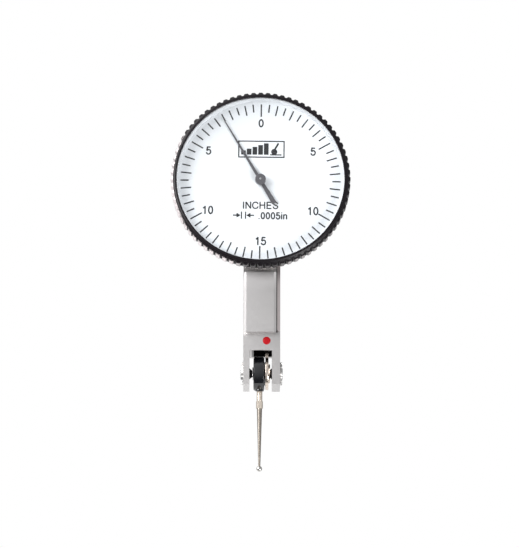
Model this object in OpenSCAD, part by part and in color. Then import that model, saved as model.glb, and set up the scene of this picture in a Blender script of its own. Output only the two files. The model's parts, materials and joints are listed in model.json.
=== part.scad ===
// Lever-type dial test indicator, 0.0005 in graduations, in millimetres.
// +Z runs up the body from the contact ball to the end dovetail, and the dial faces -Y.
// The origin is the centre of the end dovetail's face; the lever's pivot axis lies in the plane Y = 0.

/* [Dial] */
// Diameter of the bezel over its knurl
bezel_d = 32; // [31:0.5:34]
// Number of knurl teeth round the bezel
bezel_teeth = 76; // [60:2:90]
// Diameter of the opening in the bezel's lip
opening_d = 29.8; // [29:0.1:30]
// Angle of the pointer at rest, clockwise from the top of the dial
pointer_rest = -30; // [-180:0.5:180]

/* [Body] */
// Width of the body and nose, across the fork
body_w = 6.55; // [6.4:0.05:7]
// Distance from the dial's centre down to the lever's pivot
pivot_drop = 33.6; // [33:0.2:35]
// Distance from the dial's centre up to the end dovetail's face
end_rise = 16.8; // [16.5:0.1:18]
// Widest part of each dovetail
dovetail_w = 5.7; // [5.4:0.1:5.9]
// Thickness of the side cover
cover_t = 0.55; // [0.4:0.05:0.6]

/* [Stylus] */
// Distance from the pivot to the centre of the ball
stylus_len = 17; // [15:0.5:20]
// Diameter of the contact ball
ball_d = 1; // [1:0.1:2]
// Diameter of the stylus carrier
carrier_d = 6; // [5.8:0.1:6.2]

/* [Gear train] */
// Teeth of the whole circle that the lever's sector is cut from
sector_teeth = 328; // [300:2:340]
// Teeth of the pinion on the crown shaft
shaft_teeth = 12; // [12:1:14]
// Teeth of the crown gear
crown_teeth = 41; // [41:1:43]
// Teeth of the pinion on the centre arbor
arbor_teeth = 8; // [8:1:9]

/* [Hidden] */
$fn = 96;
fine = 128;
gap = 0.02;

// Levels along the dial's axis, as distances in front of the pivot plane
lip_h = 9.6;
crystal_h = [9, 9.2, 9.5];
pointer_h = [7.68, 7.82];
hub_h = 8.8;
dial_h = [6.9, 7.25];
base_h = [5, 6.4];
knurl_h = [lip_h - 3.2, lip_h - 0.42];
bezel_back_h = 5.2;

// Radii of the dial assembly
bezel_r = bezel_d / 2;
knurl_root_r = bezel_r - 0.42;
lip_r = opening_d / 2;
lip_outer_r = bezel_r - 0.6;
bore_r = lip_r + 0.15;
base_r = bore_r - 0.1;
groove_h = [5.5, 5.9];

// Body levels
dial_z = -end_rise;
pivot_z = dial_z - pivot_drop;
// The cover sits on one side of a body that is centred on the dial, so the sides are uneven.
left_x = 0.315 - body_w / 2;
right_x = 0.315 + body_w / 2;
cover_x = right_x - cover_t;
dovetail_h = 1.5;
dovetail_face_w = dovetail_w - 0.8;
dovetail_chamfer_h = 0.35;
dovetail_root_w = dovetail_w - 2 * (dovetail_h - dovetail_chamfer_h) / tan(60);
front_face_y = -5;
front_y = front_face_y + dovetail_h;
back_y = 4.4;
back_face_y = back_y + dovetail_h;
nose_top_z = pivot_z + 6.64;
nose_end_z = pivot_z - 2.46;
slot_x = [-1.87, 2.15];
slot_top_z = pivot_z + 3.64;
head_low_z = dial_z - 14.4;
dovetail_top_z = dial_z - bezel_r - 0.1;

// Chamber for the lever and gears, heights above the pivot
chamber_x = left_x + 0.8;
nose_chamber_x = -1.12;
chamber_half = 3.75;
chamber_top = pivot_drop + 7.4;

// Gears
centre_module = 2 * pivot_drop / (sector_teeth + shaft_teeth);
sector_r = sector_teeth * centre_module / 2;
shaft_pinion_r = shaft_teeth * centre_module / 2;
crown_r = 3.28;
crown_module = 2 * crown_r / crown_teeth;
arbor_pinion_r = arbor_teeth * crown_module / 2;
sector_swing = 2.6;
crown_band = 0.35;

// Fork and lever
carrier_x = [-1.13, 0.81];
washer_x = [0.83, 0.96];
lever_x = [0.98, 1.53];
hub_x = 1.8;
axle_x = [-1.33, 1.62];
axle_r = 0.8;
pivot_screw_r = 1;
cone_tip_r = 0.3;
cone_len = 0.93;
nut_t = 0.37;
nut_r = 2.05;
stylus_x = -0.04;
shank_r = 0.5;
thread_r = 0.45;
collar_r = 0.6;
shank_end = 4.98;
collar_end = 6.26;
neck_r = 0.19;

// Extrudes a (Y, Z) outline along X, from span[0] to span[1].
module across(span) {
    translate([span[0], 0, 0]) rotate([90, 0, 90]) linear_extrude(span[1] - span[0]) children();
}

// Places children with local +Z pointing out of the dial and local +Y up.
module on_dial() {
    translate([0, 0, dial_z]) rotate([90, 0, 0]) children();
}

// A disc or ring on the dial's axis between two levels.
module dial_disc(levels, outer, inner = 0) {
    on_dial() difference() {
        translate([0, 0, levels[0]]) cylinder(h = levels[1] - levels[0], r = outer, $fn = fine);
        if (inner > 0)
            translate([0, 0, levels[0] - 1]) cylinder(h = levels[1] - levels[0] + 2, r = inner, $fn = fine);
    }
}

// A cylinder along X, centred on (y, z).
module x_cylinder(span, r, y = 0, z = 0) {
    translate([span[0], y, z]) rotate([0, 90, 0]) cylinder(h = span[1] - span[0], r = r);
}

module box(low, high) {
    translate(low) cube(high - low);
}

// Involute gear outline helpers: half the angle that a tooth covers at radius r, in degrees.
function inv_deg(a) = (tan(a) - a * PI / 180) * 180 / PI;
function tooth_half(r, pitch_r, thick, pa) =
    let (base_r = pitch_r * cos(pa), a = r > base_r ? acos(base_r / r) : 0)
    thick / (2 * pitch_r) * 180 / PI + inv_deg(pa) - inv_deg(a);
function polar(r, a) = [r * sin(a), r * cos(a)];
function tooth_points(mid, radii, pitch_r, thick, pa) = concat(
    [for (r = radii) polar(r, mid - tooth_half(r, pitch_r, thick, pa))],
    [for (i = [len(radii) - 1:-1:0]) polar(radii[i], mid + tooth_half(radii[i], pitch_r, thick, pa))]
);

// Outline of a small pinion; phase is the angle of its first tooth from local +Y.
module pinion_outline(teeth, pitch_r, add, ded, thick, pa, phase) {
    base = pitch_r * cos(pa);
    root = pitch_r - ded;
    radii = [root, max(base, root + 0.01), pitch_r, (pitch_r + pitch_r + add) / 2, pitch_r + add];
    polygon([for (i = [0:teeth - 1]) each tooth_points(phase + i * 360 / teeth, radii, pitch_r, thick, pa)]);
}

// Dovetail cross-section: the face lies on local Y = 0 and the root at local Y = -dovetail_h.
module dovetail_outline() {
    polygon([
        [-dovetail_face_w / 2, 0], [dovetail_face_w / 2, 0],
        [dovetail_w / 2, -dovetail_chamfer_h], [dovetail_root_w / 2, -dovetail_h],
        [dovetail_root_w / 2, -dovetail_h - 0.5], [-dovetail_root_w / 2, -dovetail_h - 0.5],
        [-dovetail_root_w / 2, -dovetail_h], [-dovetail_w / 2, -dovetail_chamfer_h]
    ]);
}

// --- Body -------------------------------------------------------------------

base_screw_spots = [[-1.7, 10.8], [1.7, 10.8], [0, -10.6]];
cover_screw_z = [dial_z + 12.4, dial_z + 12.4, dial_z - 11, pivot_z + 9.6];
cover_screw_y = [-2.3, 3.2, 3.45, 3.3];
cover_z = [nose_top_z + 0.3, dial_z + 14.2];
marker_spot = [1.18, pivot_z + 5.33];
marker_r = 0.71;
jewel_r = 0.7;
stop_pin_y = 2.05;
stop_pin_z = pivot_z + 19;

module chamber_outline() {
    polygon([
        [-1.9, pivot_z + 7.5], [-2.6, pivot_z + 16], [-2.6, pivot_z + 28], [-chamber_half, pivot_z + 30],
        [-chamber_half, pivot_z + chamber_top], [chamber_half, pivot_z + chamber_top],
        [chamber_half, pivot_z + 30], [2.6, pivot_z + 28], [2.6, pivot_z + 16], [1.9, pivot_z + 7.5]
    ]);
}

module body_blank() {
    box([left_x, front_y, nose_end_z], [right_x, back_y, -dovetail_h]);
    box([left_x, -base_h[0], head_low_z], [right_x, front_y + 0.01, -dovetail_h]);
    // front, back and end dovetails
    translate([0, front_face_y, nose_top_z]) rotate([0, 0, 180])
        linear_extrude(dovetail_top_z - nose_top_z) dovetail_outline();
    translate([0, back_face_y, nose_top_z + 0.8])
        linear_extrude(-dovetail_h - nose_top_z - 0.8) dovetail_outline();
    translate([0, 4, 0]) rotate([90, 0, 0]) linear_extrude(8) dovetail_outline();
}

module cover_relief() {
    translate([cover_x, front_y + 0.6, cover_z[0]]) rotate([90, 0, 0]) cylinder(h = 1.6, r = 0.2);
}

module housing() {
    color("silver") difference() {
        body_blank();
        // fork slot, chambers for the lever and gears, and the step that the cover lies in
        box([slot_x[0], -5, nose_end_z - 1], [slot_x[1], 5, slot_top_z]);
        box([nose_chamber_x, -2.9, slot_top_z - 0.01], [slot_x[1], 2.9, pivot_z + 8]);
        across([chamber_x, right_x + 1]) chamber_outline();
        box([cover_x, -6, cover_z[0]], [right_x + 1, back_y + 0.01, cover_z[1]]);
        // parting groove beside the cover, with a relief hole at its foot
        box([cover_x - 0.13, -6, cover_z[0]], [cover_x + 0.01, front_y + 0.5, cover_z[1]]);
        cover_relief();
        // pivot screw bores, centre hole and jewel seat
        x_cylinder([left_x - 1, right_x + 1], pivot_screw_r, 0, pivot_z);
        dial_disc([3, base_h[0] + 1], 2.62);
        x_cylinder([left_x - 1, chamber_x + 1], jewel_r, 0, dial_z);
        // screw holes
        on_dial() for (s = base_screw_spots)
            translate([s[0], s[1], 2.7]) cylinder(h = 3, r = 0.5);
        for (i = [0:3])
            x_cylinder([cover_x - 1.85, right_x + 1], 0.45, cover_screw_y[i], cover_screw_z[i]);
        x_cylinder([left_x + 0.3, 0], 0.4, -0.7, dial_z + 5.6);
        for (side = [-1, 1])
            x_cylinder([left_x + 0.25, 0], 0.4, side * stop_pin_y, stop_pin_z);
        // recess for the red marker
        translate([marker_spot[0], front_y + 0.3, marker_spot[1]]) rotate([90, 0, 0])
            cylinder(h = 1, r = marker_r);
    }
}

module side_cover() {
    color("silver") difference() {
        box([cover_x, front_y, cover_z[0] + gap], [right_x, back_y, cover_z[1] - gap]);
        x_cylinder([cover_x - 1, right_x + 1], jewel_r, 0, dial_z);
        for (i = [0:3]) {
            x_cylinder([cover_x - 1, right_x + 1], 0.5, cover_screw_y[i], cover_screw_z[i]);
            x_cylinder([right_x - 0.25, right_x + 1], 0.85, cover_screw_y[i], cover_screw_z[i]);
        }
        cover_relief();
    }
}

module side_cover_screws() {
    color("dimgray") for (i = [0:3]) difference() {
        union() {
            x_cylinder([right_x - 0.25, right_x + 0.05], 0.82, cover_screw_y[i], cover_screw_z[i]);
            x_cylinder([cover_x - 1.45, right_x - 0.2], 0.43, cover_screw_y[i], cover_screw_z[i]);
        }
        translate([right_x + 0.05, cover_screw_y[i], cover_screw_z[i]]) rotate([30 + 50 * i, 0, 0])
            cube([0.3, 3, 0.22], center = true);
    }
}

module red_marker() {
    color("red") translate([marker_spot[0], front_y + 0.3, marker_spot[1]]) rotate([90, 0, 0])
        cylinder(h = 0.34, r = marker_r - 0.005);
}

// --- Dial assembly ------------------------------------------------------------

module dial_base_plate() {
    color("silver") difference() {
        dial_disc(base_h, base_r);
        on_dial() rotate_extrude($fn = fine)
            translate([base_r - 0.4, groove_h[0]]) square([1, groove_h[1] - groove_h[0]]);
        dial_disc([5.4, 7], 0.9);
        dial_disc([4, 6], 0.5);
        on_dial() for (s = base_screw_spots) translate([s[0], s[1], 0]) {
            translate([0, 0, 4]) cylinder(h = 3, r = 0.52);
            translate([0, 0, 5.7]) cylinder(h = 3, r = 0.95);
        }
        translate([2.15, -base_h[0] - 0.5, dial_z]) rotate([-90, 0, 0]) cylinder(h = 1, r = 0.195);
    }
}

module base_plate_screws() {
    color("dimgray") on_dial() for (s = base_screw_spots) translate([s[0], s[1], 0]) difference() {
        union() {
            translate([0, 0, 2.8]) cylinder(h = 3, r = 0.48);
            translate([0, 0, 5.7]) cylinder(h = 0.6, r = 0.92);
        }
        translate([0, 0, 6.3]) rotate([0, 0, 25]) cube([3, 0.26, 0.5], center = true);
    }
}

// Snap ring that holds the bezel on the base plate and drags on it.
module bezel_retaining_ring() {
    color("gray") on_dial() difference() {
        rotate_extrude($fn = fine) translate([base_r - 0.12, (groove_h[0] + groove_h[1]) / 2]) circle(r = 0.17);
        translate([-1, -bezel_r, 4]) cube([2, 4, 3]);
    }
}

module knurl_outline() {
    step = 360 / bezel_teeth;
    polygon([for (i = [0:bezel_teeth - 1]) each [
        polar(knurl_root_r, (i - 0.5) * step), polar(bezel_r, (i - 0.16) * step), polar(bezel_r, (i + 0.16) * step)
    ]]);
}

module bezel_ring() {
    color("black") on_dial() difference() {
        union() {
            translate([0, 0, knurl_h[0]]) linear_extrude(knurl_h[1] - knurl_h[0]) knurl_outline();
            translate([0, 0, bezel_back_h]) cylinder(h = knurl_h[0] - bezel_back_h + 0.1, r = knurl_root_r - 0.1);
            translate([0, 0, knurl_h[1] - 0.1]) cylinder(h = lip_h - knurl_h[1] + 0.1, r = lip_outer_r);
        }
        translate([0, 0, crystal_h[1] + 0.02]) cylinder(h = 2, r = lip_r, $fn = fine);
        translate([0, 0, 4]) cylinder(h = crystal_h[1] + 0.03 - 4, r = bore_r, $fn = fine);
        translate([0, 0, groove_h[0] - 0.05])
            cylinder(h = groove_h[1] - groove_h[0] + 0.1, r = bore_r + 0.25, $fn = fine);
    }
}

// Flat crystal with a stepped edge, which the bezel's lip holds down.
module crystal() {
    color("lightcyan", 0.3) union() {
        dial_disc([crystal_h[0], crystal_h[1]], bore_r - 0.01);
        dial_disc([crystal_h[0], crystal_h[2]], lip_r - 0.02);
    }
}

module dial_spacer_ring() {
    color("white") dial_disc([dial_h[1] + 0.01, crystal_h[0] - 0.01], bore_r - 0.01, lip_r - 0.12);
}

module dial_face() {
    color("white") dial_disc(dial_h, bore_r - 0.01, 0.6);
}

module dial_clamp_ring() {
    color("gray") dial_disc([6.55, dial_h[0] - 0.01], bore_r - 0.01, 14.5);
}

// --- Pointer and centre arbor ---------------------------------------------------

module pointer() {
    color("dimgray") on_dial() rotate([0, 0, -pointer_rest]) difference() {
        union() {
            translate([0, 0, pointer_h[0]]) linear_extrude(pointer_h[1] - pointer_h[0]) polygon([
                [-0.08, 13.2], [0.08, 13.2], [0.27, 0], [0.45, -4.9], [-0.45, -4.9], [-0.27, 0]
            ]);
            translate([0, 0, pointer_h[0]]) cylinder(h = hub_h - pointer_h[0], r = 0.95);
        }
        translate([0, 0, 7]) cylinder(h = hub_h - 7.2, r = 0.33);
        translate([0, 0, 7]) cylinder(h = 3, r = 0.205);
    }
}

module pointer_collet() {
    color("silver") difference() {
        union() {
            dial_disc([pointer_h[0] - 0.34, pointer_h[0] - 0.005], 0.82);
            dial_disc([pointer_h[0] - 0.34, hub_h - 0.22], 0.325);
        }
        dial_disc([7, 9], 0.205);
    }
}

module centre_arbor() {
    color("lightgray") on_dial() {
        translate([0, 0, 7.2]) cylinder(h = hub_h + 0.06 - 7.2, r = 0.2);
        translate([0, 0, 3.79]) cylinder(h = 3.42, r = 0.3);
        translate([0, 0, 2.6]) linear_extrude(1.2)
            pinion_outline(arbor_teeth, arbor_pinion_r, 0.8 * crown_module, crown_module, 0.205, 25,
                -90 + 180 / arbor_teeth);
        translate([0, 0, 1.97]) cylinder(h = 0.64, r = 0.3);
        translate([0, 0, 1.3]) cylinder(h = 0.68, r = 0.12);
    }
}

hair_h = [3.95, 4.25];
hair_turns = 4;
hair_r = [0.78, 2.12];
hair_t = 0.05;

// Half the strip: one side of an Archimedean spiral, r grows evenly with the angle.
function hair_side(off) = [
    for (i = [0:hair_turns * 30]) let (f = i / (hair_turns * 30))
        polar(hair_r[0] + (hair_r[1] - hair_r[0]) * f + off, 90 + f * hair_turns * 360)
];

module hairspring() {
    inner = hair_side(-hair_t / 2);
    outer = hair_side(hair_t / 2);
    color("steelblue") on_dial() translate([0, 0, hair_h[0]]) linear_extrude(hair_h[1] - hair_h[0])
        polygon(concat(inner, [for (i = [len(outer) - 1:-1:0]) outer[i]]));
}

module hairspring_collet() {
    color("gold") dial_disc([3.88, 4.3], 0.66, 0.3 + 0.005);
}

// Pin in the base plate that anchors the hairspring's outer end.
module hairspring_stud() {
    color("gold") translate([2.15 + 0.17, 0, 0]) intersection() {
        translate([-0.17, -base_h[0] - 0.4, dial_z]) rotate([-90, 0, 0])
            cylinder(h = base_h[0] + 0.4 - hair_h[0] + 0.1, r = 0.19);
        box([-0.145 + hair_t / 2, -base_h[0] - 0.4, dial_z - 1], [1, -3.8, dial_z + 1]);
    }
}

module front_jewel() {
    color("crimson") dial_disc([5.41, 6.2], 0.895, 0.32);
}

module rear_jewel() {
    color("crimson") dial_disc([1.3, 1.9], 0.275, 0.14);
}

// Cock that carries the rear jewel, screwed to the chamber's left wall.
module arbor_bridge() {
    color("gold") difference() {
        union() {
            box([-0.4, -1.95, dial_z - 0.6], [0.4, -1.25, dial_z + 4.4]);
            box([chamber_x, -1.95, dial_z + 4.2], [1, 0.6, dial_z + 7]);
        }
        dial_disc([0, 3], 0.28);
        x_cylinder([-3, 2], 0.43, -0.7, dial_z + 5.6);
    }
}

module bridge_screw() {
    color("dimgray") difference() {
        union() {
            x_cylinder([left_x + 0.4, 1.1], 0.38, -0.7, dial_z + 5.6);
            x_cylinder([1, 1.5], 0.85, -0.7, dial_z + 5.6);
        }
        translate([1.5, -0.7, dial_z + 5.6]) rotate([40, 0, 0]) cube([0.4, 3, 0.22], center = true);
    }
}

// --- Crown gear and its shaft -----------------------------------------------------

module crown_tooth() {
    add = 0.7 * crown_module;
    ded = crown_module;
    half = 0.105;
    slope = tan(25);
    polygon([
        [-half - ded * slope, -ded], [half + ded * slope, -ded],
        [half - add * slope, add], [-half + add * slope, add]
    ]);
}

module crown_gear() {
    pitch_x = -arbor_pinion_r;
    face_x = pitch_x - crown_module;
    color("goldenrod") difference() {
        union() {
            x_cylinder([face_x - 0.4, face_x], crown_r + crown_band, 0, dial_z);
            x_cylinder([face_x - 0.8, face_x + 0.1], 0.8, 0, dial_z);
            for (i = [0:crown_teeth - 1])
                translate([pitch_x, 0, dial_z]) rotate([i * 360 / crown_teeth, 0, 0])
                    translate([0, -crown_r + crown_band, 0]) rotate([90, 0, 0])
                        linear_extrude(2 * crown_band) rotate(-90) crown_tooth();
        }
        x_cylinder([-4, 4], 0.355, 0, dial_z);
        for (i = [0:3])
            x_cylinder([-4, 0], 0.62, 1.75 * sin(i * 90 + 45), dial_z + 1.75 * cos(i * 90 + 45));
    }
}

module crown_shaft() {
    color("lightgray") {
        x_cylinder([chamber_x + 0.01, cover_x - 0.03], 0.35, 0, dial_z);
        x_cylinder([chamber_x - 0.5, chamber_x + 0.05], 0.16, 0, dial_z);
        x_cylinder([cover_x - 0.05, cover_x + 0.3], 0.16, 0, dial_z);
        across([lever_x[0] - 0.13, lever_x[1] + 0.12]) translate([0, dial_z])
            pinion_outline(shaft_teeth, shaft_pinion_r, 0.8 * centre_module, 1.15 * centre_module, 0.275, 20,
                180 + 180 / shaft_teeth);
    }
}

module crown_jewel_left() {
    color("crimson") difference() {
        x_cylinder([chamber_x - 0.6, chamber_x - 0.02], jewel_r - 0.005, 0, dial_z);
        x_cylinder([chamber_x - 1, chamber_x + 1], 0.18, 0, dial_z);
    }
}

module crown_jewel_right() {
    color("crimson") difference() {
        x_cylinder([cover_x, right_x - 0.1], jewel_r - 0.005, 0, dial_z);
        x_cylinder([2, right_x + 1], 0.18, 0, dial_z);
    }
}

// --- Lever ------------------------------------------------------------------------

sector_half = 3;

module sector_outline() {
    add = 0.7 * centre_module;
    root = sector_r - 1.05 * centre_module;
    step = 360 / sector_teeth;
    radii = [root, sector_r, sector_r + add];
    edge = (sector_half + 0.45) * step;
    polygon(concat(
        [polar(sector_r - 2.4, -edge)],
        [for (i = [-sector_half:sector_half]) each tooth_points(i * step, radii, sector_r, 0.275, 20)],
        [polar(sector_r - 2.4, edge), [0.6, sector_r - 4.4], [0.9, 2.5], [-0.9, 2.5], [-0.6, sector_r - 4.4]]
    ));
}

module sector_lever() {
    color("silver") difference() {
        union() {
            across(lever_x) translate([0, pivot_z]) {
                sector_outline();
                circle(r = carrier_d / 2 - 0.1);
            }
            x_cylinder([lever_x[1] - 0.1, hub_x], 1.7, 0, pivot_z);
        }
        x_cylinder([0, 2], axle_r + 0.005, 0, pivot_z);
        // slot that lightens the arm
        across([0, 2]) translate([0, pivot_z])
            polygon([[-0.3, 5], [0.3, 5], [0.22, 24], [-0.22, 24]]);
    }
}

// Conical centre in an end of the axle, with clearance over the pivot screw's cone.
module axle_centre(x, dir) {
    slope = (pivot_screw_r - cone_tip_r) / cone_len;
    depth = 0.45;
    start = dir < 0 ? x - slot_x[0] : slot_x[1] - x;
    mouth_r = pivot_screw_r - start * slope + 0.05;
    translate([x, 0, pivot_z]) rotate([0, -90 * dir, 0]) translate([0, 0, -0.001])
        cylinder(h = depth, r1 = mouth_r, r2 = mouth_r - depth * slope);
}

module pivot_axle() {
    color("lightgray") difference() {
        union() {
            x_cylinder(axle_x, axle_r, 0, pivot_z);
            x_cylinder([axle_x[0], carrier_x[0] - gap], 1.15, 0, pivot_z);
        }
        axle_centre(axle_x[0], -1);
        axle_centre(axle_x[1], 1);
    }
}

module friction_washer() {
    color("gold") difference() {
        x_cylinder(washer_x, 2.1, 0, pivot_z);
        x_cylinder([0, 1.2], axle_r + 0.01, 0, pivot_z);
    }
}

module lever_stop_pins() {
    color("gray") for (side = [-1, 1])
        x_cylinder([left_x + 0.35, 1.9], 0.39, side * stop_pin_y, stop_pin_z);
}

module stylus_carrier() {
    color("black") difference() {
        union() {
            x_cylinder(carrier_x, carrier_d / 2, 0, pivot_z);
            translate([stylus_x, 0, pivot_z - carrier_d / 2 - 0.15]) cylinder(h = 1, r = 0.75);
        }
        x_cylinder([-4, 4], axle_r + gap, 0, pivot_z);
        translate([stylus_x, 0, pivot_z - 4]) cylinder(h = 4 - 1.15, r = thread_r + 0.005);
    }
}

module stylus() {
    color("tan") translate([stylus_x, 0, pivot_z]) {
        translate([0, 0, -3.3]) cylinder(h = 2.05, r = thread_r);
        translate([0, 0, -shank_end - 0.05]) cylinder(h = shank_end + 0.05 - carrier_d / 2 - 0.16, r = shank_r);
        intersection() {
            translate([0, 0, -collar_end]) cylinder(h = collar_end - shank_end, r = collar_r);
            translate([-2, -0.47, -collar_end]) cube([4, 0.94, 2]);
        }
        translate([0, 0, -stylus_len]) cylinder(h = stylus_len - collar_end + 0.05, r1 = neck_r, r2 = 0.49);
    }
}

module ball_tip() {
    color("silver") translate([stylus_x, 0, pivot_z - stylus_len]) difference() {
        sphere(d = ball_d);
        cylinder(h = ball_d, r = 0.24);
        cylinder(h = 0.6, r1 = neck_r, r2 = neck_r + 0.05);
    }
}

// --- Pivot screws -------------------------------------------------------------------

module pivot_screw(dir) {
    inner_x = dir < 0 ? slot_x[0] : slot_x[1];
    length = nut_t + 0.08 + (dir < 0 ? inner_x - left_x : right_x - inner_x);
    color("black") translate([inner_x, 0, pivot_z]) rotate([0, 90 * dir, 0]) difference() {
        union() {
            cylinder(h = length, r = pivot_screw_r - 0.005);
            translate([0, 0, -cone_len]) cylinder(h = cone_len, r1 = cone_tip_r, r2 = pivot_screw_r);
        }
        translate([0, 0, length]) cube([0.24, 4, 0.6], center = true);
    }
}

module pivot_locknut(dir) {
    color("silver") translate([dir < 0 ? left_x : right_x, 0, pivot_z]) rotate([0, 90 * dir, 0]) difference() {
        cylinder(h = nut_t, r = nut_r);
        translate([0, 0, -1]) cylinder(h = 3, r = pivot_screw_r);
        for (i = [0:9]) rotate([0, 0, i * 36]) translate([nut_r + 0.05, 0, 0])
            cube([0.5, 0.42, 2], center = true);
    }
}

module pivot_screw_left() pivot_screw(-1);
module pivot_screw_right() pivot_screw(1);
module pivot_locknut_left() pivot_locknut(-1);
module pivot_locknut_right() pivot_locknut(1);

housing();
side_cover();
side_cover_screws();
red_marker();
dial_base_plate();
base_plate_screws();
bezel_retaining_ring();
bezel_ring();
crystal();
dial_spacer_ring();
dial_face();
dial_clamp_ring();
pointer();
pointer_collet();
centre_arbor();
hairspring_collet();
hairspring();
hairspring_stud();
front_jewel();
rear_jewel();
arbor_bridge();
bridge_screw();
crown_gear();
crown_shaft();
crown_jewel_left();
crown_jewel_right();
sector_lever();
pivot_axle();
friction_washer();
lever_stop_pins();
stylus_carrier();
stylus();
ball_tip();
pivot_screw_left();
pivot_screw_right();
pivot_locknut_left();
pivot_locknut_right();
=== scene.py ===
"""Looks of the lever-type dial test indicator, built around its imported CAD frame.

The frame is in metres: +X to the viewer's right, the dial facing -Y, +Z up the body.
"""

import json
import math

import bmesh
import bpy
from mathutils import Matrix, Quaternion, Vector


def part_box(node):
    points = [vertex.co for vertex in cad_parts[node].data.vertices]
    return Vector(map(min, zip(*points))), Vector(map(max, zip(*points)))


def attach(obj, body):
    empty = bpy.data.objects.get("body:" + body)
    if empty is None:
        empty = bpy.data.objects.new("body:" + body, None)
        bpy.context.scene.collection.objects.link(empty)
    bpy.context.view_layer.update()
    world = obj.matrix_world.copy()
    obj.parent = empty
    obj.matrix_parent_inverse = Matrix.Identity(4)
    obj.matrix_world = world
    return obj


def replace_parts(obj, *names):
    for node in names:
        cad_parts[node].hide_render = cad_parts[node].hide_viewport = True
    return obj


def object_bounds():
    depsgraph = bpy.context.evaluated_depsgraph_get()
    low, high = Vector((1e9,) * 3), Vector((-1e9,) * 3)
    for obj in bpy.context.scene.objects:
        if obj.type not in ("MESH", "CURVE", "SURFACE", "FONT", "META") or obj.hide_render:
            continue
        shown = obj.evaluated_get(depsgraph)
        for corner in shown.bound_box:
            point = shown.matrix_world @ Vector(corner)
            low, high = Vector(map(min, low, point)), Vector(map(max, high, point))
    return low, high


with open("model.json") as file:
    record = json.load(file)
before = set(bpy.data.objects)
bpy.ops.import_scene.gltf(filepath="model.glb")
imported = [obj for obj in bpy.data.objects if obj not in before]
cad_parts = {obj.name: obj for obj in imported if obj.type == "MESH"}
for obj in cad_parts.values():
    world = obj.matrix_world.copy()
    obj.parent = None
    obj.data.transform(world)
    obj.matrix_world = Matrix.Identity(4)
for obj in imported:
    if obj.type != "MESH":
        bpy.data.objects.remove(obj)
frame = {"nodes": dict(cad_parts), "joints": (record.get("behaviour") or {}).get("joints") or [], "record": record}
CAD_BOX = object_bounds()

MM = 0.001
JOINTS = {joint["name"]: joint for joint in frame["joints"]}
DIAL = Vector(JOINTS["pointer_turn"]["pos_m"])
PIVOT = Vector(JOINTS["lever_swing"]["pos_m"])
# The dial's axis where it crosses the plane Y = 0, from which heights towards the viewer are measured
DIAL_ORIGIN = Vector((DIAL.x, 0, DIAL.z))

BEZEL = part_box("bezel_ring")
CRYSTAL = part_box("crystal")
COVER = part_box("side_cover")
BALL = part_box("ball_tip")

# Axes that lathed and extruded pieces are built on: columns are local X, Y and Z in the frame.
FACING_DIAL = Matrix(((1, 0, 0), (0, 0, -1), (0, 1, 0)))
ALONG_X = Matrix(((0, 0, 1), (1, 0, 0), (0, 1, 0)))
DOWNWARD = Matrix(((1, 0, 0), (0, -1, 0), (0, 0, -1)))


# --- Camera, light and stage -----------------------------------------------------------

# The camera looks up at the dial from below and is turned very slightly about its line of sight.
CAMERA_LENS_MM = 138.63
CAMERA_TILT = math.radians(13.2255)
CAMERA_ROLL = math.radians(0.2)
CAMERA_FROM_LIP = Vector((-0.12, -360.207, -102.252)) * MM


def add_camera():
    lip = Vector((DIAL.x, BEZEL[0].y, DIAL.z))
    data = bpy.data.cameras.new("photo_camera")
    data.sensor_width = 36
    data.lens = CAMERA_LENS_MM
    data.clip_start = 0.01
    data.clip_end = 20
    camera = bpy.data.objects.new("photo_camera", data)
    camera.location = lip + CAMERA_FROM_LIP
    sight = Vector((0, math.cos(CAMERA_TILT), math.sin(CAMERA_TILT)))
    level = sight.to_track_quat("-Z", "Y")
    camera.rotation_euler = (level @ Quaternion((0, 0, 1), CAMERA_ROLL)).to_euler()
    bpy.context.scene.collection.objects.link(camera)
    bpy.context.scene.camera = camera


def add_softbox(name, location, target, size, power):
    data = bpy.data.lights.new(name, "AREA")
    data.shape = "RECTANGLE"
    data.size, data.size_y = size
    data.energy = power
    light = bpy.data.objects.new(name, data)
    light.location = location
    light.rotation_euler = (Vector(target) - Vector(location)).to_track_quat("-Z", "Y").to_euler()
    bpy.context.scene.collection.objects.link(light)


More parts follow.
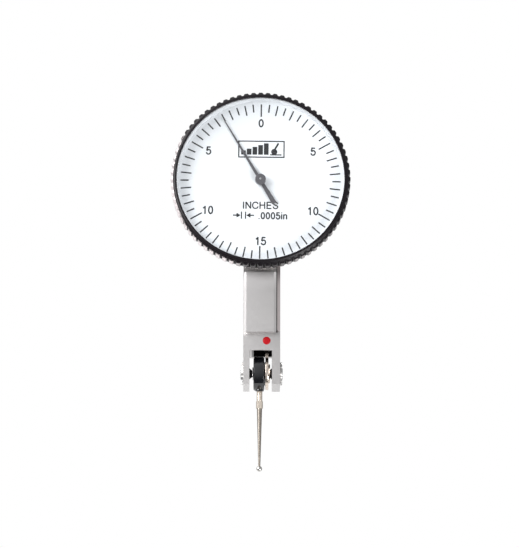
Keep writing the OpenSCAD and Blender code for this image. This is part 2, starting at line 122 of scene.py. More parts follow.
class Nodes:
    """Lays out one node tree, for a material or the world."""

    def __init__(self, owner, output_kind):
        owner.use_nodes = True
        self.tree = owner.node_tree
        self.tree.nodes.clear()
        self.output = self.add(output_kind)

    def add(self, kind, inputs=None, **settings):
        node = self.tree.nodes.new(kind)
        for key, value in settings.items():
            setattr(node, key, value)
        for key, value in (inputs or {}).items():
            if isinstance(value, bpy.types.NodeSocket):
                self.tree.links.new(value, node.inputs[key])
            else:
                node.inputs[key].default_value = value
        return node

    def show(self, shader):
        self.tree.links.new(shader.outputs[0], self.output.inputs["Surface"])

    def noise(self, size_mm, stretch=(1, 1, 1), detail=4):
        """Noise with features about size_mm across, longer along the axes that stretch is over 1 on."""
        place = self.add("ShaderNodeTexCoord").outputs["Object"]
        scale = [1 / (size_mm * MM * s) for s in stretch]
        placed = self.add("ShaderNodeMapping", {"Vector": place, "Scale": scale}).outputs[0]
        inputs = {"Vector": placed, "Scale": 1.0, "Detail": detail, "Roughness": 0.55}
        return self.add("ShaderNodeTexNoise", inputs).outputs[0]

    def axes(self):
        """The frame's X, Y and Z."""
        place = self.add("ShaderNodeTexCoord").outputs["Object"]
        return self.add("ShaderNodeSeparateXYZ", {"Vector": place}).outputs

    def scaled(self, color, share):
        return self.add("ShaderNodeVectorMath", {0: color, "Scale": share}, operation="SCALE").outputs[0]

    def span(self, value, low, high, start=0.3, end=0.7):
        """Goes from low, where value is start, to high, where it is end. The usual ends suit a noise."""
        inputs = {"Value": value, "From Min": start, "From Max": end, "To Min": low, "To Max": high}
        return self.add("ShaderNodeMapRange", inputs).outputs[0]

    def curve(self, value, low, high, stops):
        """A smooth grey level along value, as {position from 0 to 1: level}."""
        place = self.span(value, 0.0, 1.0, low, high)
        grey = self.ramp(place, {key: (level, level, level) for key, level in stops.items()})
        return self.add("ShaderNodeSeparateColor", {"Color": grey}).outputs[0]

    def math(self, operation, a, b):
        node = self.add("ShaderNodeMath", operation=operation)
        for socket, value in zip(node.inputs, (a, b)):
            if isinstance(value, bpy.types.NodeSocket):
                self.tree.links.new(value, socket)
            else:
                socket.default_value = value
        return node.outputs[0]

    def ramp(self, value, stops):
        """Colours at positions along value, as {position: (r, g, b)}."""
        node = self.add("ShaderNodeValToRGB", {"Fac": value})
        elements = node.color_ramp.elements
        while len(elements) > 1:
            elements.remove(elements[-1])
        first, *others = sorted(stops.items())
        elements[0].position, elements[0].color = first[0], (*first[1], 1)
        for position, color in others:
            elements.new(position).color = (*color, 1)
        return node.outputs[0]

    def within(self, low, high, soft):
        """One inside a box given in the frame's coordinates and zero outside it."""
        inside = 1.0
        for axis, least, most in zip(self.axes(), low, high):
            inside = self.math("MULTIPLY", inside, self.span(axis, 0.0, 1.0, least - soft, least + soft))
            inside = self.math("MULTIPLY", inside, self.span(axis, 1.0, 0.0, most - soft, most + soft))
        return inside


ROOM_STRENGTH = 1.96
FLOOR_DROP = 0.2
FLOOR_HALF_SIZE = (1.5, 1.0)
FLOOR_CENTRE_Y = 0.95


def set_world():
    """A studio that is brighter on the left and overhead, and dark low down."""
    world = bpy.data.worlds.new("studio")
    bpy.context.scene.world = world
    nodes = Nodes(world, "ShaderNodeOutputWorld")
    direction = nodes.add("ShaderNodeTexCoord").outputs["Generated"]
    x, y, z = nodes.add("ShaderNodeSeparateXYZ", {"Vector": direction}).outputs
    across = nodes.curve(x, -1, 1, {
        0.0: 0.85, 0.08: 0.80, 0.25: 0.62, 0.45: 0.47, 0.5: 0.44, 0.6: 0.36,
        0.72: 0.28, 0.85: 0.32, 1.0: 0.55,
    })
    height = nodes.curve(z, -1, 1, {
        0.0: 0.04, 0.14: 0.10, 0.3: 0.40, 0.5: 0.62, 0.61: 0.70, 0.8: 0.80, 1.0: 1.0,
    })
    front = nodes.math("MULTIPLY", nodes.math("MULTIPLY", across, height), ROOM_STRENGTH)
    # Behind, a dark card on the left and a darker right draw the edges of polished parts.
    sweep = nodes.curve(x, -1, 1, {
        0.0: 0.5, 0.15: 0.2, 0.28: 0.3, 0.36: 1.0, 0.5: 1.0, 0.56: 0.6, 0.65: 0.4, 1.0: 0.35,
    })
    behind = nodes.span(y, 0.0, 1.0, 0.2, 0.6)
    light = nodes.add("ShaderNodeMix", {0: behind, 2: front, 3: sweep}, data_type="FLOAT").outputs[0]
    room = nodes.add("ShaderNodeBackground", {"Color": (0.975, 0.985, 1, 1), "Strength": light})
    backdrop = nodes.add("ShaderNodeBackground", {"Color": (1, 1, 1, 1), "Strength": 1.0})
    seen = nodes.add("ShaderNodeLightPath").outputs["Is Camera Ray"]
    both = nodes.add("ShaderNodeMixShader", {0: seen, 1: room.outputs[0], 2: backdrop.outputs[0]})
    nodes.show(both)


def add_floor():
    """An oval table top whose front edge is just in front of the object."""
    mesh = bpy.data.meshes.new("floor")
    shape = bmesh.new()
    bmesh.ops.create_circle(shape, cap_ends=True, radius=1, segments=128)
    bmesh.ops.scale(shape, vec=(*FLOOR_HALF_SIZE, 1), verts=shape.verts)
    shape.to_mesh(mesh)
    shape.free()
    floor = bpy.data.objects.new("floor", mesh)
    floor.location = (0, FLOOR_CENTRE_Y, CAD_BOX[0][2] - FLOOR_DROP)
    bpy.context.scene.collection.objects.link(floor)
    material = bpy.data.materials.new("pale_floor")
    nodes = Nodes(material, "ShaderNodeOutputMaterial")
    tone = nodes.ramp(nodes.noise(60), {0.3: (0.86, 0.86, 0.855), 0.7: (0.88, 0.88, 0.875)})
    nodes.show(nodes.add("ShaderNodeBsdfPrincipled", {"Base Color": tone, "Roughness": 0.7}))
    mesh.materials.append(material)


# --- Materials ----------------------------------------------------------------------------

# Where painted shade keeps the inside of the nose dark
CHAMBER_LOW = (-1.45 * MM, -3.1 * MM, PIVOT.z + 3.6 * MM)
CHAMBER_HIGH = (2.3 * MM, 3.1 * MM, PIVOT.z + 8.4 * MM)
# Painted shade also darkens the joint beside the cover.
JOINT_LOW = (COVER[0].x - 0.15 * MM, COVER[0].y + 0.04 * MM, COVER[0].z - 0.5 * MM)
JOINT_HIGH = (COVER[0].x + 0.02 * MM, COVER[1].y - 0.04 * MM, COVER[1].z)


# From the left to the right side of the body
FACE_WIDTH = (-3 * MM, 3.6 * MM)
# The colour of the painted shade
PAINTED_SHADE_COLOR = (0.012, 0.010, 0.009, 1)
# The stylus's taper starts just under its collar
GROUND_BELOW = PIVOT.z - 6.3 * MM


def new_material(name):
    material = bpy.data.materials.new(name)
    return material, Nodes(material, "ShaderNodeOutputMaterial")


def tinted(color, share):
    return tuple(min(1.0, c * share) for c in color)


def surface(name, color, metallic, roughness, grain_mm=0.12, stretch=(1, 1, 1), vary=0.08,
            height_um=1.5, specular=0.5, coat=0.0, painted_side_light=0.0, ground=None):
    """A finish with fine grain in its gloss and relief, and slow variation in its tone.

    The tone may carry painted light that falls from left to right, and be darker below a height that the taper is
    ground to.
    Painted shade darkens it inside the nose's chamber and in the joint beside the cover.
    """
    material, nodes = new_material(name)
    grain = nodes.noise(grain_mm, stretch, 6)
    patches = nodes.noise(3.5, detail=3)
    tone = nodes.ramp(patches, {0.3: tinted(color, 1 - vary), 0.7: tinted(color, 1 + vary)})
    if painted_side_light:
        x, _, z = nodes.axes()
        # Painted light: brighter on the left than on the right, and up to 1.4 times brighter just below the bezel,
        # against the bezel's shade there.
        under_bezel_light = nodes.span(z, 1.0, 1.4, BEZEL[0].z - 3.5 * MM, BEZEL[0].z)
        share = nodes.math("MULTIPLY", nodes.span(x, 1 + painted_side_light, 1 - painted_side_light, *FACE_WIDTH), under_bezel_light)
        tone = nodes.scaled(tone, share)
    if ground:
        share = nodes.span(nodes.axes()[2], 0.45, 1.0, ground - 0.1 * MM, ground + 0.1 * MM)
        tone = nodes.scaled(tone, share)
    if metallic:
        # Painted shade inside the nose's chamber and in the joint beside the cover: dark and not metallic.
        painted_shade = nodes.math("MAXIMUM", nodes.within(CHAMBER_LOW, CHAMBER_HIGH, 0.05 * MM),
                          nodes.within(JOINT_LOW, JOINT_HIGH, 0.01 * MM))
        # Sockets 6 and 7 are the two colours of a mix, and output 2 is their blend.
        tone = nodes.add("ShaderNodeMix", {0: painted_shade, 6: tone, 7: PAINTED_SHADE_COLOR}, data_type="RGBA").outputs[2]
        metallic = nodes.math("MULTIPLY", nodes.math("SUBTRACT", 1.0, painted_shade), metallic)
    gloss = nodes.span(grain, roughness * 0.82, roughness * 1.18)
    relief = nodes.add("ShaderNodeBump", {"Height": grain, "Strength": 1.0, "Distance": height_um * 1e-6})
    shader = nodes.add("ShaderNodeBsdfPrincipled", {
        "Base Color": tone, "Metallic": metallic, "Roughness": gloss, "Normal": relief.outputs[0],
        "Specular IOR Level": specular, "Coat Weight": coat,
    })
    shader.inputs["Coat Roughness"].default_value = 0.08
    nodes.show(shader)
    return material


def black_with_glint(name, color, roughness, glint_color, specular=0.3):
    """Black finish with a painted reflection: a light metal colour where the mesh's attribute is near 1, and matt
    near -1.
    """
    material, nodes = new_material(name)
    grain = nodes.noise(0.09, detail=5)
    painted_glint = nodes.add("ShaderNodeAttribute", attribute_name="painted_glint").outputs["Fac"]
    # Painted reflection: the light metal colour shows where the mask is high, in place of the glossy black's
    # reflection at grazing angles.
    glint_share = nodes.span(nodes.math("ADD", painted_glint, nodes.span(grain, -0.25, 0.25)), 0, 1, 0.35, 0.85)
    tone = nodes.ramp(glint_share, {0.0: color, 1.0: glint_color})
    sheen = nodes.span(grain, roughness * 0.8, roughness * 1.2)
    gloss = nodes.math("MAXIMUM", sheen, nodes.span(painted_glint, 0.95, 0.0, -1.0, -0.2))
    relief = nodes.add("ShaderNodeBump", {"Height": grain, "Strength": 1.0, "Distance": 1.2e-6})
    nodes.show(nodes.add("ShaderNodeBsdfPrincipled", {
        "Base Color": tone, "Metallic": glint_share, "Roughness": gloss, "Normal": relief.outputs[0],
        "Specular IOR Level": specular,
    }))
    return material


def clear_sheet(name):
    """Thin clear glass: it lets light straight through and mirrors more towards grazing angles."""
    material, nodes = new_material(name)
    smear = nodes.span(nodes.noise(6, detail=2), 0.01, 0.03)
    through = nodes.add("ShaderNodeBsdfTransparent", {"Color": (0.985, 0.99, 0.992, 1)})
    mirror = nodes.add("ShaderNodeBsdfGlossy", {"Color": (1, 1, 1, 1), "Roughness": smear})
    facing = nodes.add("ShaderNodeLayerWeight", {"Blend": 0.5}).outputs["Facing"]
    share = nodes.span(nodes.math("POWER", facing, 5.0), 0.03, 0.6, 0.0, 1.0)
    nodes.show(nodes.add("ShaderNodeMixShader", {0: share, 1: through.outputs[0], 2: mirror.outputs[0]}))
    return material


def make_finishes():
    """One material for each of the record's slots."""
    down = (1, 1, 8)
    return {
        # The satin steel and the plate carry painted light, brighter on the left than on the right.
        "satin_steel": surface("satin_steel", (0.61, 0.592, 0.586), 1, 0.36, 0.10, down, 0.03, 2.0,
                               painted_side_light=0.07),
        "cover_steel": surface("cover_steel", (0.67, 0.606, 0.60), 1, 0.34, 0.10, down, 0.05, 2.0),
        "screw_steel": surface("screw_steel", (0.07, 0.07, 0.077), 0.6, 0.3),
        "red_enamel": surface("red_enamel", (0.336, 0.004, 0.008), 0, 0.30, 0.4, specular=0.21),
        "plate_metal": surface("plate_metal", (0.755, 0.741, 0.727), 1, 0.32, 0.08, painted_side_light=0.32),
        "spring_steel": surface("spring_steel", (0.60, 0.60, 0.62), 1, 0.3),
        # The knurl's light pinkish colour is a painted reflection.
        "bezel_black": black_with_glint("bezel_black", (0.0065, 0.005, 0.0065), 0.30, (0.97, 0.885, 0.89), 0.186),
        "clear_crystal": clear_sheet("clear_crystal"),
        "rim_silver": surface("rim_silver", (0.82, 0.83, 0.85), 0.4, 0.4),
        "dial_white": surface("dial_white", (0.635, 0.65, 0.67), 0, 0.5, 0.3, vary=0.01, height_um=0.3),
        "dial_ink": surface("dial_ink", (0.008, 0.008, 0.010), 0, 0.55, 0.1, specular=0.2),
        "pointer_grey": surface("pointer_grey", (0.060, 0.057, 0.064), 0, 0.35, 0.08),
        "polished_steel": surface("polished_steel", (0.74, 0.74, 0.75), 1, 0.16, 0.2, height_um=0.4),
        "gear_brass": surface("gear_brass", (0.80, 0.60, 0.27), 1, 0.28),
        "blued_spring": surface("blued_spring", (0.07, 0.12, 0.36), 1, 0.25),
        "ruby": surface("ruby", (0.45, 0.006, 0.05), 0, 0.08, 0.5, coat=1.0),
        "lever_nickel": surface("lever_nickel", (0.74, 0.65, 0.57), 1, 0.26, 0.25, height_um=6),
        "carrier_black": black_with_glint("carrier_black", (0.0045, 0.005, 0.0065), 0.08, (0.43, 0.43, 0.44), 0.86),
        "stylus_nickel": surface("stylus_nickel", (0.56, 0.50, 0.435), 1, 0.46, 0.15, down,
                                 ground=GROUND_BELOW),
        "carbide": surface("carbide", (0.515, 0.503, 0.479), 1, 0.12, 0.3, height_um=0.3),
    }


# --- Mesh tools ---------------------------------------------------------------------------------


def piece(name, shape, body, slot, sharp_deg=35, attributes=None):
    """Turns a bmesh into a piece that rides on a body and takes its finish from a slot."""
    bmesh.ops.recalc_face_normals(shape, faces=shape.faces)
    mesh = bpy.data.meshes.new(name)
    shape.to_mesh(mesh)
    shape.free()
    mesh.shade_smooth()
    mesh.set_sharp_from_angle(angle=math.radians(sharp_deg))
    mesh.materials.append(FINISHES[slot])
    for key, values in (attributes or {}).items():
        mesh.attributes.new(key, "FLOAT", "POINT").data.foreach_set("value", values)
    made = bpy.data.objects.new(name, mesh)
    bpy.context.scene.collection.objects.link(made)
    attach(made, body)
    return made


def rounded(points, radius, steps=3):
    """A polyline with its inner corners rounded. A point may carry its own radius as a third number."""
    made = []
    count = len(points)
    for i, point in enumerate(points):
        here = Vector(point[:2])
        size = point[2] if len(point) > 2 else radius
        if i in (0, count - 1) or size == 0:
            made.append(here)
            continue
        before = Vector(points[i - 1][:2]) - here
        after = Vector(points[i + 1][:2]) - here
        half = before.angle(after) / 2
        reach = min(size / math.tan(half), before.length * 0.49, after.length * 0.49)
        start, end = here + before.normalized() * reach, here + after.normalized() * reach
        for k in range(steps + 1):
            t = k / steps
            made.append((1 - t) ** 2 * start + 2 * t * (1 - t) * here + t * t * end)
    return made


def lathe(profile, centre, axes, steps=96):
    """A closed solid of revolution. The profile is (radius, height) pairs in mm; radius 0 closes an end."""
    shape = bmesh.new()
    rings = []
    for radius, height in profile:
        spots = 1 if radius < 1e-6 else steps
        ring = []
        for k in range(spots):
            angle = 2 * math.pi * k / steps
            local = Vector((radius * math.sin(angle), radius * math.cos(angle), height)) * MM
            ring.append(shape.verts.new(centre + axes @ local))
        rings.append(ring)
    pairs = list(zip(rings, rings[1:]))
    if len(rings[0]) > 1:
        pairs.append((rings[-1], rings[0]))
    for low, high in pairs:
        for k in range(steps):
            corners = [low[k % len(low)], low[(k + 1) % len(low)],
                       high[(k + 1) % len(high)], high[k % len(high)]]
            unique = list(dict.fromkeys(corners))
            if len(unique) > 2:
                shape.faces.new(unique)
    return shape


def add_solid(shape, other):
    """Moves another bmesh's solid into this one."""
    mesh = bpy.data.meshes.new("solid")
    other.to_mesh(mesh)
    other.free()
    shape.from_mesh(mesh)
    bpy.data.meshes.remove(mesh)


def prism(shape, outline, heights, centre, axes, inset=0.0):
    """Adds an extruded outline, in mm, to a bmesh. An inset slopes the top edge inwards like a chamfer."""
    middle = sum((Vector(p[:2]) for p in outline), Vector((0, 0))) / len(outline)
    levels = [(heights[0], 0), (heights[1] - inset, 0), (heights[1], inset)] if inset else \
        [(heights[0], 0), (heights[1], 0)]
    rings = []
    for height, pull in levels:
        ring = []
        for point in outline:
            flat = Vector(point[:2])
            flat += (middle - flat).normalized() * pull
            ring.append(shape.verts.new(centre + axes @ (Vector((*flat, height)) * MM)))
        rings.append(ring)
    count = len(outline)
    for low, high in zip(rings, rings[1:]):
        for k in range(count):
            shape.faces.new([low[k], low[(k + 1) % count], high[(k + 1) % count], high[k]])
    shape.faces.new(rings[0][::-1])
    shape.faces.new(rings[-1])
    return shape


def turned(point, clockwise_deg):
    """A dial-plane point turned clockwise, as the viewer sees it."""
    angle = math.radians(clockwise_deg)
    x, z = point[:2]
    return (x * math.cos(angle) + z * math.sin(angle), z * math.cos(angle) - x * math.sin(angle))


# --- Bezel and crystal --------------------------------------------------------------------------------

KNURL_TEETH = 76
TOOTH_HEIGHT = 0.42
# Shares of a tooth's pitch at which its outline is sampled
TOOTH_SAMPLES = (-0.5, -0.44, -0.36, -0.28, -0.20, -0.10, 0.0, 0.10, 0.20, 0.28, 0.36, 0.44)


def front_mm(y):
    """Height in front of the plane Y = 0, in mm, which is local Z on the dial's axes."""
    return -y / MM


def tooth_lift(share):
    """How far a coin-edge tooth stands out, from 0 to 1, at a share of the way round its pitch."""
    distance = abs(share - round(share)) * 2
    return min(1.0, max(0.0, (0.90 - distance) / 0.50)) ** 0.75


def limited(value, most=1.0):
    return max(0.0, min(most, value))


def tooth_glint(turn, lift, show, on_tooth):
    """How strongly a knurl tooth shows the painted reflection, from 0 to 1, or -1 on the matt floor between teeth.

    turn is the tooth's place clockwise from the top, lift and show how far the surface stands out there.
    The painted reflection is strongest on the lower left, towards the light, and weakest on the right. Painted
    shade from the body dims it at the bottom.
    """
    # Painted reflection: strongest towards the light on the lower left.
    glint_share = -0.894 * math.sin(turn) - 0.447 * math.cos(turn)
    # Painted shade: the body below dims the bottom teeth.
    body_shade = limited((-math.cos(turn) - 0.955) / 0.03)
    strength = max(0.52, min(1.0, 0.30 + 0.75 * glint_share)) * (1 - 0.6 * body_shade)
    # The painted reflection sits on the tooth's top, and where the light falls hardest on the bevels at its ends
    # too.
    glint_above = 0.84 - 0.30 * max(0.0, glint_share)
    bevels = limited(4 * glint_share - 2.2)
    glint = strength * limited((lift - glint_above) / 0.14) * (1 if show == 1 else bevels * show)
    if not on_tooth:
        return glint
    # On the far left the painted reflection covers the floors too.
    glint = max(glint, limited(-5 * math.sin(turn) - 4, 0.9))
    return -1.0 if glint == 0 and lift < 0.4 else glint


def build_bezel():
    tip = (BEZEL[1].x - BEZEL[0].x) / 2 / MM
    root = tip - TOOTH_HEIGHT
    rear, lip = front_mm(BEZEL[1].y), front_mm(BEZEL[0].y)
    bore = (CRYSTAL[1].x - CRYSTAL[0].x) / 2 / MM + 0.01
    opening = bore - 0.15
    ledge = front_mm(CRYSTAL[0].y) - 0.28
    low, high = lip - 3.2, lip - 0.42
    rim = root - 0.06
    # (radius at the root, height, how much of the tooth shows)
    rows = [
        (bore, rear + 0.1, 0), (bore + 0.1, rear, 0), (root - 0.25, rear, 0), (root - 0.1, rear + 0.12, 0),
        (root - 0.1, low - 0.12, 0), (root - 0.06, low - 0.03, 0), (root, low, 0.05),
        (root, low + 0.10, 0.35), (root, low + 0.24, 0.85), (root, low + 0.34, 1),
        (root, high - 0.36, 1), (root, high - 0.29, 0.9), (root, high - 0.03, 0.12),
        (root - 0.01, high, 0.03), (rim, high + 0.04, 0), (rim, lip - 0.20, 0),
        (rim - 0.03, lip - 0.15, 0), (rim - 0.12, lip - 0.09, 0),
        (rim - 0.26, lip - 0.035, 0), (opening + 0.14, lip - 0.003, 0), (opening + 0.05, lip, 0),
        (opening + 0.015, lip - 0.02, 0), (opening, lip - 0.06, 0), (opening, ledge, 0),
        (bore, ledge - 0.005, 0),
    ]
    shape = bmesh.new()
    rings, painted_glint = [], []
    for radius, height, show in rows:
        ring = []
        for tooth in range(KNURL_TEETH):
            for share in TOOTH_SAMPLES:
                angle = 2 * math.pi * (tooth + share) / KNURL_TEETH
                lift = tooth_lift(share)
                reach = radius + lift * show * (tip - root)
                local = Vector((reach * math.sin(angle), reach * math.cos(angle), height)) * MM
                ring.append(shape.verts.new(DIAL_ORIGIN + FACING_DIAL @ local))
                # Each vertex gets its share of the painted reflection.
                painted_glint.append(tooth_glint(2 * math.pi * tooth / KNURL_TEETH, lift, show, low <= height <= high))
        rings.append(ring)
    count = len(rings[0])
    for low_ring, high_ring in zip(rings, rings[1:] + rings[:1]):
        for k in range(count):
            after = (k + 1) % count
            shape.faces.new([low_ring[k], low_ring[after], high_ring[after], high_ring[k]])
    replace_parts(piece("knurled_bezel", shape, "bezel", "bezel_black", 28, {"painted_glint": painted_glint}), "bezel_ring")


def build_crystal():
    radius = (CRYSTAL[1].x - CRYSTAL[0].x) / 2 / MM - 0.005
    back, front = front_mm(CRYSTAL[1].y), front_mm(CRYSTAL[0].y)
    step = radius - 0.16
    profile = rounded([(0, back), (radius, back), (radius, front - 0.3), (step, front - 0.3), (step, front),
                       (0, front)], 0.05)
    shape = lathe(profile, DIAL_ORIGIN, FACING_DIAL, 160)
    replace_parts(piece("crystal_disc", shape, "bezel", "clear_crystal", 60), "crystal")


# --- Dial printing -----------------------------------------------------------------------------------

PRINT_TURN = 0.45
INK_MM = 0.012
DIAL_FRONT = front_mm(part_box("dial_face")[0].y)
DIVISIONS = 60
# Inner ends of the graduations: every tenth, every even one and the rest
TICK_OUTER = 14.29
TICK_LONG, TICK_EVEN, TICK_ODD = 11.95, 12.40, 12.82
TICK_WIDTH = 0.245


def ribbon(shape, points, width, closed=False):
    """Adds a printed stroke of even width along a line of points, in mm from the dial's centre."""
    line = [Vector(p) for p in points]
    count = len(line)
    rings = []
    for i, here in enumerate(line):
        before = line[i - 1] if closed or i else here
        after = line[(i + 1) % count] if closed or i < count - 1 else here
        along = [(b - a).normalized() for a, b in ((before, here), (here, after)) if (b - a).length > 1e-9]
        mean = sum(along, Vector((0, 0))).normalized()
        side = Vector((-mean.y, mean.x)) * (width / 2 / max(0.5, mean.dot(along[0])))
        ring = []
        left, right = here - side, here + side
        for flat, height in ((left, 0), (right, 0), (right, INK_MM), (left, INK_MM)):
            local = Vector((*turned(flat, PRINT_TURN), DIAL_FRONT + height)) * MM
            ring.append(shape.verts.new(DIAL_ORIGIN + FACING_DIAL @ local))
        rings.append(ring)
    pairs = list(zip(rings, rings[1:] + rings[:1])) if closed else list(zip(rings, rings[1:]))
    for a, b in pairs:
        for k in range(4):
            shape.faces.new([a[k], a[(k + 1) % 4], b[(k + 1) % 4], b[k]])
    if not closed:
        shape.faces.new(rings[0][::-1])
        shape.faces.new(rings[-1])


def patch(shape, outline):
    """Adds a filled printed shape, in mm from the dial's centre."""
    prism(shape, [turned(p, PRINT_TURN) for p in outline], (DIAL_FRONT, DIAL_FRONT + INK_MM), DIAL_ORIGIN,
          FACING_DIAL)


def smooth_line(points, steps=5):
    """A Catmull-Rom curve through the points."""
    line = [Vector(p) for p in (points[0], *points, points[-1])]
    made = []
    for a, b, c, d in zip(line, line[1:], line[2:], line[3:]):
        for k in range(steps):
            t = k / steps
            made.append(0.5 * (2 * b + (c - a) * t + (2 * a - 5 * b + 4 * c - d) * t * t
                               + (3 * b - a - 3 * c + d) * t ** 3))
    return made + [line[-1]]


def ring_line(half_width, half_height, centre=(0, 0), steps=28):
    return [Vector(centre) + Vector((half_width * math.cos(a), half_height * math.sin(a)))
            for a in (2 * math.pi * k / steps for k in range(steps))]


# Strokes of each character on a unit-high body centred on its advance width: (advance, [(points, closed)])
GLYPHS = {
    "0": (0.78, [(ring_line(0.245, 0.435), True)]),
    "1": (0.78, [
        ([(0.07, -0.5), (0.07, 0.5)], False),
        (smooth_line([(0.06, 0.42), (-0.04, 0.3), (-0.2, 0.22)]), False),
    ]),
    "5": (0.78, [
        ([(0.26, 0.435), (-0.15, 0.435), (-0.215, 0.0)], False),
        (smooth_line([
            (-0.2, -0.03), (-0.09, 0.085), (0.05, 0.12), (0.19, 0.05), (0.265, -0.13),
            (0.2, -0.34), (0.04, -0.435), (-0.12, -0.42), (-0.22, -0.33), (-0.27, -0.2),
        ]), False),
    ]),
    ".": (0.36, [([(0.0, -0.5), (0.0, -0.37)], False)]),
    "i": (0.34, [([(0.0, -0.5), (0.0, 0.22)], False), ([(0.0, 0.36), (0.0, 0.5)], False)]),
    "n": (0.74, [
        ([(-0.22, -0.5), (-0.22, 0.22)], False),
        (smooth_line([
            (-0.2, 0.02), (-0.08, 0.15), (0.06, 0.165), (0.18, 0.1), (0.22, -0.05), (0.22, -0.5),
        ]), False),
    ]),
    "I": (0.36, [([(0.0, -0.5), (0.0, 0.5)], False)]),
    "N": (0.98, [
        ([(-0.32, -0.5), (-0.32, 0.48)], False),
        ([(-0.30, 0.44), (0.30, -0.44)], False),
        ([(0.32, -0.48), (0.32, 0.5)], False),
    ]),
    "C": (0.98, [
        (smooth_line([
            (0.36, 0.18), (0.25, 0.38), (0.02, 0.44), (-0.22, 0.36), (-0.36, 0.14),
            (-0.37, -0.12), (-0.24, -0.36), (0.02, -0.44), (0.26, -0.36), (0.38, -0.14),
        ]), False),
    ]),
    "H": (0.98, [
        ([(-0.32, -0.5), (-0.32, 0.5)], False),
        ([(0.32, -0.5), (0.32, 0.5)], False),
        ([(-0.27, 0.03), (0.27, 0.03)], False),
    ]),
    "E": (0.90, [
        ([(-0.28, -0.5), (-0.28, 0.5)], False),
        ([(-0.23, 0.44), (0.32, 0.44)], False),
        ([(-0.23, 0.03), (0.28, 0.03)], False),
        ([(-0.23, -0.44), (0.34, -0.44)], False),
    ]),
    "S": (0.90, [
        (smooth_line([
            (0.28, 0.22), (0.2, 0.39), (0.0, 0.44), (-0.22, 0.37), (-0.27, 0.22), (-0.16, 0.09), (0.1, 0.0),
            (0.28, -0.12), (0.28, -0.3), (0.12, -0.43), (-0.1, -0.435), (-0.26, -0.34), (-0.32, -0.16),
        ]), False),
    ]),
}


def letter(shape, text, height, centre, squeeze=1.0, weight=0.175):
    """Adds a line of generic characters centred on a point of the dial."""
    place = -sum(GLYPHS[c][0] for c in text) / 2
    for c in text:
        advance, strokes = GLYPHS[c]
        place += advance / 2
        for points, closed in strokes:
            ribbon(shape, [(centre[0] + (place + p[0]) * height * squeeze, centre[1] + p[1] * height)
                           for p in points], weight * height, closed)
        place += advance / 2


def print_dial():
    ticks = bmesh.new()
    for i in range(DIVISIONS):
        inner = TICK_LONG if i % 10 == 0 else TICK_EVEN if i % 2 == 0 else TICK_ODD
        spoke = Vector(turned((0, 1), 360 / DIVISIONS * i))
        ribbon(ticks, [spoke * inner, spoke * TICK_OUTER], TICK_WIDTH)
    piece("dial_graduations", ticks, "bezel", "dial_ink")
    numerals = bmesh.new()
    for text, x, z in (("0", 0, 10.75), ("5", 9.35, 5.55), ("5", -9.35, 5.55), ("10", 9.35, -5.45),
                       ("10", -9.35, -5.45), ("15", 0.1, -11.05)):
        letter(numerals, text, 1.5, (x, z), 0.93)
    piece("dial_numerals", numerals, "bezel", "dial_ink")
    legend = bmesh.new()
    letter(legend, "INCHES", 1.3, (0.05, -4.5), 0.98)
    letter(legend, ".0005in", 1.28, (2.25, -6.4), 0.9, 0.19)
    print_interval(legend, -6.35)
    piece("dial_legend", legend, "bezel", "dial_ink")
    print_emblem()


def print_interval(shape, level):
    """Two arrows that point at a pair of lines: the width of one division."""
    for side in (-1, 1):
        line = -2.95 + side * 0.36
        ribbon(shape, [(line, level - 0.66), (line, level + 0.66)], 0.21)
        ribbon(shape, [(line + side * 0.80, level), (line + side * 1.52, level)], 0.23)
        patch(shape, [(line + side * 0.14, level), (line + side * 0.88, level - 0.46),
                      (line + side * 0.88, level + 0.46)])


def print_emblem():
    """A wordless pictogram in a thin frame: gauge blocks of rising height and a ball probe."""
    shape = bmesh.new()
    low, high = (-3.95, 4.42), (4.15, 7.38)
    ribbon(shape, [low, (high[0], low[1]), high, (low[0], high[1])], 0.22, True)
    base = low[1] + 0.45
    for k in range(5):
        left = low[0] + 0.42 + 1.02 * k
        height = 0.78 + 0.34 * k
        patch(shape, [(left, base), (left + 0.84, base), (left + 0.84, base + height), (left, base + height)])
    ball = Vector((high[0] - 1.75, base + 0.55))
    patch(shape, ring_line(0.56, 0.56, ball, 20))
    ribbon(shape, [ball + Vector((0.1, 0.45)), (ball.x + 0.75, high[1] - 0.35)], 0.32)
    ribbon(shape, [(ball.x - 0.75, base), (high[0] - 0.45, base)], 0.22)
    piece("dial_emblem", shape, "bezel", "dial_ink")


# --- Pointer -------------------------------------------------------------------------------------------


def pointer_angle():
    """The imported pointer's direction at rest, clockwise from the top, from its farthest point."""
    corners = [corner.co - DIAL for corner in frame["nodes"]["pointer"].data.vertices]
    tip = max(corners, key=lambda reach: reach.x ** 2 + reach.z ** 2)
    return math.degrees(math.atan2(tip.x, tip.z))


def build_pointer():
    back, front = (front_mm(y) for y in (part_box("pointer")[1].y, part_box("pointer")[0].y))
    turn = pointer_angle()
    blade = [(-0.27, 0.4), (-0.085, 12.9), (-0.05, 13.2), (0.05, 13.2), (0.085, 12.9), (0.27, 0.4),
             (0.27, -0.4), (0.45, -4.82), (0.38, -4.9), (-0.38, -4.9), (-0.45, -4.82), (-0.27, -0.4)]
    shape = bmesh.new()
    prism(shape, [turned(p, turn) for p in blade], (back, back + 0.14), DIAL_ORIGIN, FACING_DIAL)
    hub = rounded([
        (0.335, back + 0.005), (0.95, back + 0.005, 0.03), (0.95, front, 0.12), (0.21, front, 0.03),
        (0.21, front - 0.2), (0.335, front - 0.2),
    ], 0.02, 4)
    add_solid(shape, lathe(hub, DIAL_ORIGIN, FACING_DIAL, 64))
    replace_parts(piece("pointer_hand", shape, "pointer_arbor", "pointer_grey", 30), "pointer")


# --- Nose, carrier and stylus --------------------------------------------------------------------------


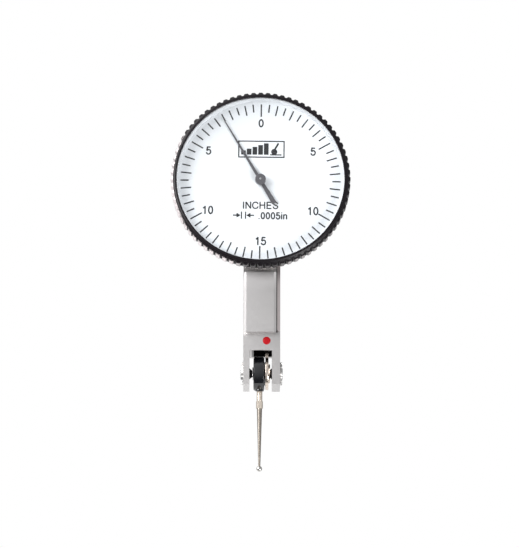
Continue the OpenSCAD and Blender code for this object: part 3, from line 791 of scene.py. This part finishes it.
def build_marker():
    low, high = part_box("red_marker")
    middle = (low + high) / 2
    radius = (high.x - low.x) / 2 / MM
    back, front = front_mm(high.y), front_mm(low.y)
    dome = [(0, back), (radius, back), (radius, front - 0.04), (radius * 0.93, front + 0.03),
            (radius * 0.75, front + 0.075), (radius * 0.45, front + 0.10), (0, front + 0.11)]
    shape = lathe(dome, Vector((middle.x, 0, middle.z)), FACING_DIAL, 64)
    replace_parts(piece("enamel_dot", shape, "body", "red_enamel", 40), "red_marker")


def build_carrier():
    low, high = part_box("stylus_carrier")
    radius = (high.y - low.y) / 2 / MM
    left, right = low.x / MM, high.x / MM
    rim = rounded([
        (0.82, left + 0.05), (1.07, left + 0.05), (1.12, left), (radius - 0.16, left),
        (radius, left + 0.16), (radius, right - 0.2), (radius - 0.2, right), (0.82, right),
    ], 0.03, 2)
    shape = lathe(rim, Vector((0, PIVOT.y, PIVOT.z)), ALONG_X, 128)
    seat = rounded([(0, radius - 0.6), (0.75, radius - 0.6), (0.75, radius + 0.15), (0, radius + 0.15)], 0.06)
    add_solid(shape, lathe(seat, STYLUS_TOP, DOWNWARD, 48))
    # The drum carries none of the painted reflection.
    no_glint = {"painted_glint": [0.0] * len(shape.verts)}
    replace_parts(piece("carrier_drum", shape, "stylus_arm", "carrier_black", 30, no_glint), "stylus_carrier")


STYLUS_TOP = Vector(((BALL[0].x + BALL[1].x) / 2, PIVOT.y, PIVOT.z))
BALL_R = (BALL[1].x - BALL[0].x) / 2 / MM
# Heights that run down from the pivot
BALL_DROP = (PIVOT.z - BALL[0].z) / MM - BALL_R
COLLAR = (4.98, 6.26)
COLLAR_R = 0.6
COLLAR_FLAT = 0.47


def build_stylus():
    """A shank, a collar with two flats and a slender taper down to the ball."""
    profile = rounded([
        (0, 3.17, 0), (0.44, 3.17), (0.5, 3.23), (0.5, COLLAR[0] - 0.06), (0.46, COLLAR[0] + 0.02),
        (0.46, COLLAR[1] + 0.15), (0.185, BALL_DROP - 0.42), (0.20, BALL_DROP - 0.2), (0, BALL_DROP - 0.1, 0),
    ], 0.05, 2)
    shape = lathe(profile, STYLUS_TOP, DOWNWARD, 48)
    outline = []
    for k in range(48):
        angle = 2 * math.pi * k / 48
        x, y = COLLAR_R * math.sin(angle), COLLAR_R * math.cos(angle)
        outline.append((x, max(-COLLAR_FLAT, min(COLLAR_FLAT, y))))
    prism(shape, outline, COLLAR, STYLUS_TOP, DOWNWARD, 0.05)
    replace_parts(piece("stylus_rod", shape, "stylus_arm", "stylus_nickel", 30), "stylus")


def build_ball():
    angles = [math.pi * k / 32 for k in range(33)]
    arc = [(BALL_R * math.sin(a), BALL_DROP - BALL_R * math.cos(a)) for a in angles]
    shape = lathe(arc, STYLUS_TOP, DOWNWARD, 64)
    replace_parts(piece("contact_ball", shape, "stylus_arm", "carbide", 80), "ball_tip")


# --- CAD nodes that stay -------------------------------------------------------------------------------

EDGE_MM = {"housing": 0.08, "side_cover": 0.05, "dial_base_plate": 0.05}
SMALL_EDGE_MM = 0.03


def dress_cad_nodes():
    """Gives each remaining CAD node its finish and eases its sharp edges."""
    for part in frame["record"]["subparts"]:
        node = frame["nodes"][part["node"]]
        node.data.materials.clear()
        node.data.materials.append(FINISHES[part["material_slot"]])
        if node.hide_render:
            continue
        weld = node.modifiers.new("weld", "WELD")
        weld.merge_threshold = 1e-6
        flat = node.modifiers.new("flat_faces", "DECIMATE")
        flat.decimate_type = "DISSOLVE"
        flat.angle_limit = math.radians(1)
        ease = node.modifiers.new("eased_edges", "BEVEL")
        ease.width = EDGE_MM.get(part["node"], SMALL_EDGE_MM) * MM
        ease.segments = 2
        ease.limit_method = "ANGLE"
        ease.angle_limit = math.radians(35)
        node.data.shade_smooth()
        # Flat faces keep their own normals, so that only the eased edges look round.
        level = node.modifiers.new("level_faces", "WEIGHTED_NORMAL")
        level.weight = 90


add_camera()
set_world()
add_floor()
add_softbox("key", (-0.40, -0.44, 0.08), DIAL, (0.26, 0.26), 2.73)
add_softbox("high_left", (-0.36, -0.26, 0.36), DIAL, (0.30, 0.30), 2.45)
add_softbox("low_right", (0.27, -0.36, -0.34), DIAL, (0.24, 0.24), 3.0)
add_softbox("table_wash", (0, 0.70, -0.10), (0, 0.70, -0.27), (0.8, 0.6), 0.7)
bpy.context.scene.view_settings.view_transform = "Standard"

FINISHES = make_finishes()
build_bezel()
build_crystal()
print_dial()
build_pointer()
build_marker()
build_carrier()
build_stylus()
build_ball()
dress_cad_nodes()
